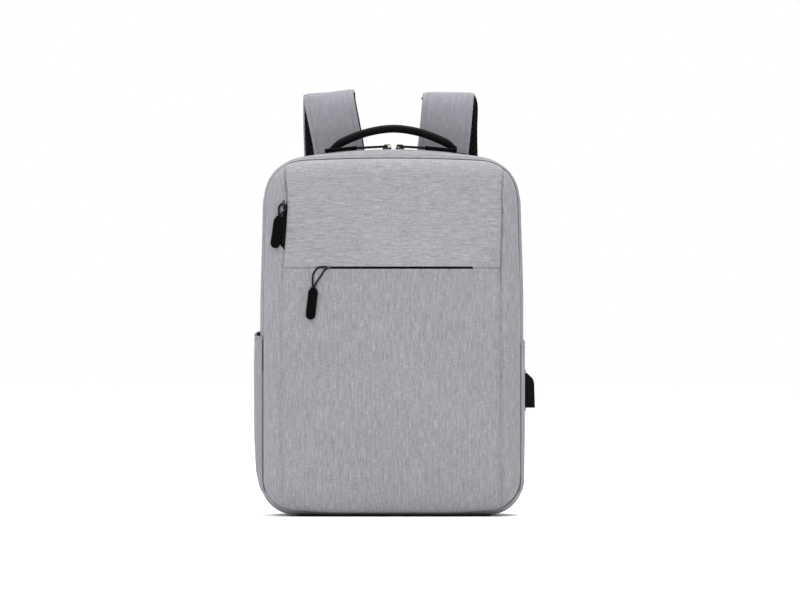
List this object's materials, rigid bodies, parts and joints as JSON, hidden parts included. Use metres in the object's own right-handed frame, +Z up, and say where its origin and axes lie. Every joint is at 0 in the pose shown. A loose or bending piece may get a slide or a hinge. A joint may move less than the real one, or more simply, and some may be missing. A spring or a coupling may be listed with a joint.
{
  "type": "laptop backpack",
  "caption": "Slim upright laptop backpack with a lid-like zipped front, padded straps, top handle, side pockets, trolley band and an outside USB socket.",
  "frame": {"origin": "on the ground under the middle of the bag's base patch, midway between its sides", "axes": "+Z up, -Y out of the front panel, +Y towards the shoulder straps and the wearer, +X to the right as seen from the front"},
  "size_m": [0.3224, 0.1914, 0.487],
  "materials": {
    "outer_cloth": "grey heathered woven polyester",
    "lining_cloth": "dark grey smooth woven lining",
    "air_mesh": "black open spacer mesh",
    "webbing": "black ribbed webbing",
    "puller_cord": "black twisted cord",
    "puller_rubber": "matte black moulded rubber",
    "handle_rubber": "matte black rubbery coating",
    "port_rubber": "matte black soft rubber",
    "zip_tape": "black coated zip tape with a fine coil",
    "zip_slider_metal": "black painted die-cast metal",
    "buckle_plastic": "black moulded plastic",
    "stiffener_board": "pale plastic sheet",
    "base_cloth": "black hard-wearing coated cloth",
    "socket_steel": "bright pressed sheet steel",
    "socket_plastic": "black plastic"
  },
  "bodies": {
    "bag_body": {"rear_shell": "outer_cloth", "lining": "lining_cloth", "back_board": "stiffener_board", "base_panel": "base_cloth", "laptop_divider": "lining_cloth", "front_panel_lower": "outer_cloth", "front_fold": "outer_cloth", "front_wall_lower": "lining_cloth", "front_pocket_pouch": "lining_cloth", "main_zip_rear_tape": "zip_tape", "bottle_pocket_left": "outer_cloth", "bottle_pocket_right": "outer_cloth", "usb_flange": "port_rubber", "usb_housing": "port_rubber", "usb_socket": "socket_steel", "usb_tongue": "socket_plastic", "back_pad_left": "air_mesh", "back_pad_right": "air_mesh", "strap_yoke": "outer_cloth", "luggage_band": "outer_cloth", "handle_patch_left": "webbing", "handle_patch_right": "webbing", "strap_riser_left": "outer_cloth", "strap_riser_right": "outer_cloth", "webbing_lower_left": "webbing", "webbing_lower_right": "webbing", "webbing_tab_left": "outer_cloth", "webbing_tab_right": "outer_cloth"},
    "front_section": {"front_panel_upper": "outer_cloth", "front_wall_upper": "lining_cloth", "organizer_pocket": "lining_cloth", "main_zip_front_tape": "zip_tape", "front_pocket_zip": "zip_tape", "side_pocket_zip": "zip_tape"},
    "carry_handle": {"handle_grip": "handle_rubber"},
    "laptop_tab": {"laptop_tab": "webbing"},
    "main_slider_left": {"main_left_slider": "zip_slider_metal"},
    "main_puller_left": {"main_left_cord": "puller_cord", "main_left_grip": "puller_rubber"},
    "main_slider_right": {"main_right_slider": "zip_slider_metal"},
    "main_puller_right": {"main_right_cord": "puller_cord", "main_right_grip": "puller_rubber"},
    "front_slider": {"front_pocket_slider": "zip_slider_metal"},
    "front_puller": {"front_pocket_cord": "puller_cord", "front_pocket_grip": "puller_rubber"},
    "side_slider": {"side_pocket_slider": "zip_slider_metal"},
    "side_puller": {"side_pocket_cord": "puller_cord", "side_pocket_grip": "puller_rubber"},
    "shoulder_strap_left": {"strap_cover_left": "outer_cloth", "strap_mesh_left": "air_mesh", "buckle_loop_left": "webbing"},
    "shoulder_strap_right": {"strap_cover_right": "outer_cloth", "strap_mesh_right": "air_mesh", "buckle_loop_right": "webbing"},
    "strap_buckle_left": {"buckle_left": "buckle_plastic", "webbing_tail_left": "webbing"},
    "strap_buckle_right": {"buckle_right": "buckle_plastic", "webbing_tail_right": "webbing"}
  },
  "joints": [
    {"name": "front_opening", "type": "hinge", "parent": "bag_body", "child": "front_section", "pos_m": [0, -0.022, 0.215], "axis": [1, 0, 0], "range_deg": [0, 28], "deforming": ["front_fold", "front_pocket_pouch"]},
    {"name": "handle_tilt", "type": "hinge", "parent": "bag_body", "child": "carry_handle", "pos_m": [0, 0.028, 0.419], "axis": [1, 0, 0], "range_deg": [-35, 35]},
    {"name": "laptop_tab_flip", "type": "hinge", "parent": "bag_body", "child": "laptop_tab", "pos_m": [0, 0.051, 0.322], "axis": [-1, 0, 0], "range_deg": [0, 90]},
    {"name": "main_slider_left_travel", "type": "hinge", "parent": "bag_body", "child": "main_slider_left", "pos_m": [0, -0.022, -0.222], "axis": [0, -1, 0], "range_deg": [0, 7.9]},
    {"name": "main_puller_left_swing", "type": "hinge", "parent": "main_slider_left", "child": "main_puller_left", "pos_m": [-0.00734, -0.022, 0.42156], "axis": [0, 1, 0], "range_deg": [0, 80]},
    {"name": "main_slider_right_travel", "type": "hinge", "parent": "bag_body", "child": "main_slider_right", "pos_m": [0, -0.022, -0.222], "axis": [0, 1, 0], "range_deg": [0, 7.9]},
    {"name": "main_puller_right_swing", "type": "hinge", "parent": "main_slider_right", "child": "main_puller_right", "pos_m": [0.00734, -0.022, 0.42156], "axis": [0, -1, 0], "range_deg": [0, 80]},
    {"name": "front_slider_travel", "type": "slide", "parent": "front_section", "child": "front_slider", "axis": [1, 0, 0], "range_m": [0, 0.155]},
    {"name": "front_puller_swing", "type": "hinge", "parent": "front_slider", "child": "front_puller", "pos_m": [-0.075, -0.0633, 0.283], "axis": [0, 0, 1], "range_deg": [0, 70]},
    {"name": "side_slider_travel", "type": "slide", "parent": "front_section", "child": "side_slider", "axis": [0, 0, -1], "range_m": [0, 0.105]},
    {"name": "side_puller_swing", "type": "hinge", "parent": "side_slider", "child": "side_puller", "pos_m": [-0.1246, -0.0633, 0.3545], "axis": [-0.9272, 0, 0.3746], "range_deg": [0, 80]},
    {"name": "strap_left_swing", "type": "hinge", "parent": "bag_body", "child": "shoulder_strap_left", "pos_m": [0, 0.088, 0.487], "axis": [1, 0, 0], "range_deg": [0, 8], "deforming": ["webbing_lower_left"]},
    {"name": "buckle_left_tilt", "type": "hinge", "parent": "shoulder_strap_left", "child": "strap_buckle_left", "pos_m": [0, 0.105, 0.1613], "axis": [1, 0, 0], "range_deg": [0, 30]},
    {"name": "strap_right_swing", "type": "hinge", "parent": "bag_body", "child": "shoulder_strap_right", "pos_m": [0, 0.088, 0.487], "axis": [1, 0, 0], "range_deg": [0, 8], "deforming": ["webbing_lower_right"]},
    {"name": "buckle_right_tilt", "type": "hinge", "parent": "shoulder_strap_right", "child": "strap_buckle_right", "pos_m": [0, 0.105, 0.1613], "axis": [1, 0, 0], "range_deg": [0, 30]}
  ]
}
